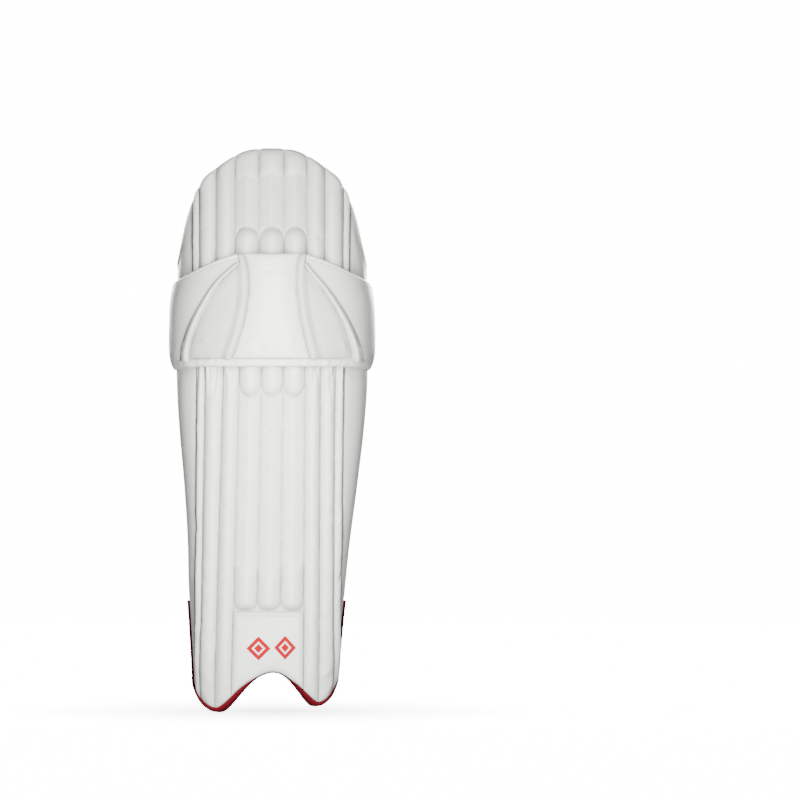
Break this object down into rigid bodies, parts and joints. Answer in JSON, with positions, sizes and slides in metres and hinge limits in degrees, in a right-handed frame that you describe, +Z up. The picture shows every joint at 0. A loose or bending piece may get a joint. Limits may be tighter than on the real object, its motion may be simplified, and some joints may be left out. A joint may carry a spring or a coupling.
{
  "type": "cricket leg pad",
  "caption": "Batting leg pad for the right leg: rolled shin face, hinged knee band, domed thigh flap, side wings and straps with hook and loop tabs.",
  "frame": {"origin": "on the leg's axis, level with the pad's lowest edge", "axes": "+Z up the leg, the padded face looks along -Y, +X is the viewer's right from the front, which is the inside of a right leg"},
  "size_m": [0.2558, 0.1943, 0.7002],
  "materials": {
    "cover": "smooth white synthetic leather",
    "foam": "closed cell foam",
    "stiffener": "light fibre board",
    "lining": "brushed knit",
    "binding": "woven tape",
    "webbing": "woven webbing",
    "tape": "hook and loop tape"
  },
  "bodies": {
    "shin": {"shin_cover": "cover", "shin_stiffener": "stiffener", "shin_foam": "foam", "shin_lining": "lining", "outer_wing": "cover", "inner_wing": "cover", "shin_roll_outer_1": "cover", "shin_roll_outer_2": "cover", "shin_roll_outer_3": "cover", "shin_roll_inner_1": "cover", "shin_roll_inner_2": "cover", "shin_roll_inner_3": "cover", "shin_centre_roll_1": "cover", "shin_centre_roll_2": "cover", "shin_centre_roll_3": "cover", "instep_panel": "cover", "bottom_binding": "binding", "outer_bolster": "lining", "inner_bolster": "lining", "instep_bolster": "lining", "ankle_strap_anchor": "webbing", "ankle_loop_tape": "tape", "calf_strap_anchor": "webbing", "calf_loop_tape": "tape", "top_strap_anchor": "webbing", "top_loop_tape": "tape"},
    "knee": {"knee_cover": "cover", "knee_foam": "foam", "knee_lining": "lining", "knee_centre_panel": "cover", "knee_leaf_outer": "cover", "knee_leaf_inner": "cover", "knee_welt_outer": "cover", "knee_welt_inner": "cover", "knee_piping_outer": "cover", "knee_piping_inner": "cover", "knee_cradle_outer": "lining", "knee_cradle_inner": "lining", "knee_cap_pad": "lining"},
    "thigh": {"thigh_cover": "cover", "thigh_foam": "foam", "thigh_lining": "lining", "thigh_roll_outer_1": "cover", "thigh_roll_outer_2": "cover", "thigh_roll_outer_3": "cover", "thigh_roll_inner_1": "cover", "thigh_roll_inner_2": "cover", "thigh_roll_inner_3": "cover", "thigh_centre_roll_1": "cover", "thigh_centre_roll_2": "cover", "thigh_centre_roll_3": "cover"},
    "ankle_strap": {"ankle_strap": "webbing"},
    "ankle_tab": {"ankle_strap_tab": "webbing", "ankle_hook_tape": "tape"},
    "calf_strap": {"calf_strap": "webbing"},
    "calf_tab": {"calf_strap_tab": "webbing", "calf_hook_tape": "tape"},
    "top_strap": {"top_strap": "webbing"},
    "top_tab": {"top_strap_tab": "webbing", "top_hook_tape": "tape"}
  },
  "joints": [
    {"name": "knee_flex", "type": "hinge", "parent": "shin", "child": "knee", "pos_m": [0, 0, 0.458], "axis": [-1, 0, 0], "range_deg": [0, 15], "stiffness_Nm_per_rad": 2},
    {"name": "thigh_flex", "type": "hinge", "parent": "knee", "child": "thigh", "pos_m": [0, 0, 0.55], "axis": [-1, 0, 0], "range_deg": [0, 12], "stiffness_Nm_per_rad": 2},
    {"name": "ankle_strap_swing", "type": "hinge", "parent": "shin", "child": "ankle_strap", "pos_m": [0.0822, 0.075, 0.21], "axis": [0, 0, 1], "range_deg": [-140, 0]},
    {"name": "ankle_tab_peel", "type": "hinge", "parent": "ankle_strap", "child": "ankle_tab", "pos_m": [-0.0923, 0.075, 0.21], "axis": [0, 0, 1], "range_deg": [-110, 0]},
    {"name": "calf_strap_swing", "type": "hinge", "parent": "shin", "child": "calf_strap", "pos_m": [0.0906, 0.075, 0.287], "axis": [0, 0, 1], "range_deg": [-140, 0]},
    {"name": "calf_tab_peel", "type": "hinge", "parent": "calf_strap", "child": "calf_tab", "pos_m": [-0.0961, 0.075, 0.287], "axis": [0, 0, 1], "range_deg": [-110, 0]},
    {"name": "top_strap_swing", "type": "hinge", "parent": "shin", "child": "top_strap", "pos_m": [0.0975, 0.075, 0.362], "axis": [0, 0, 1], "range_deg": [-140, 0]},
    {"name": "top_tab_peel", "type": "hinge", "parent": "top_strap", "child": "top_tab", "pos_m": [-0.101, 0.075, 0.362], "axis": [0, 0, 1], "range_deg": [-110, 0]}
  ]
}
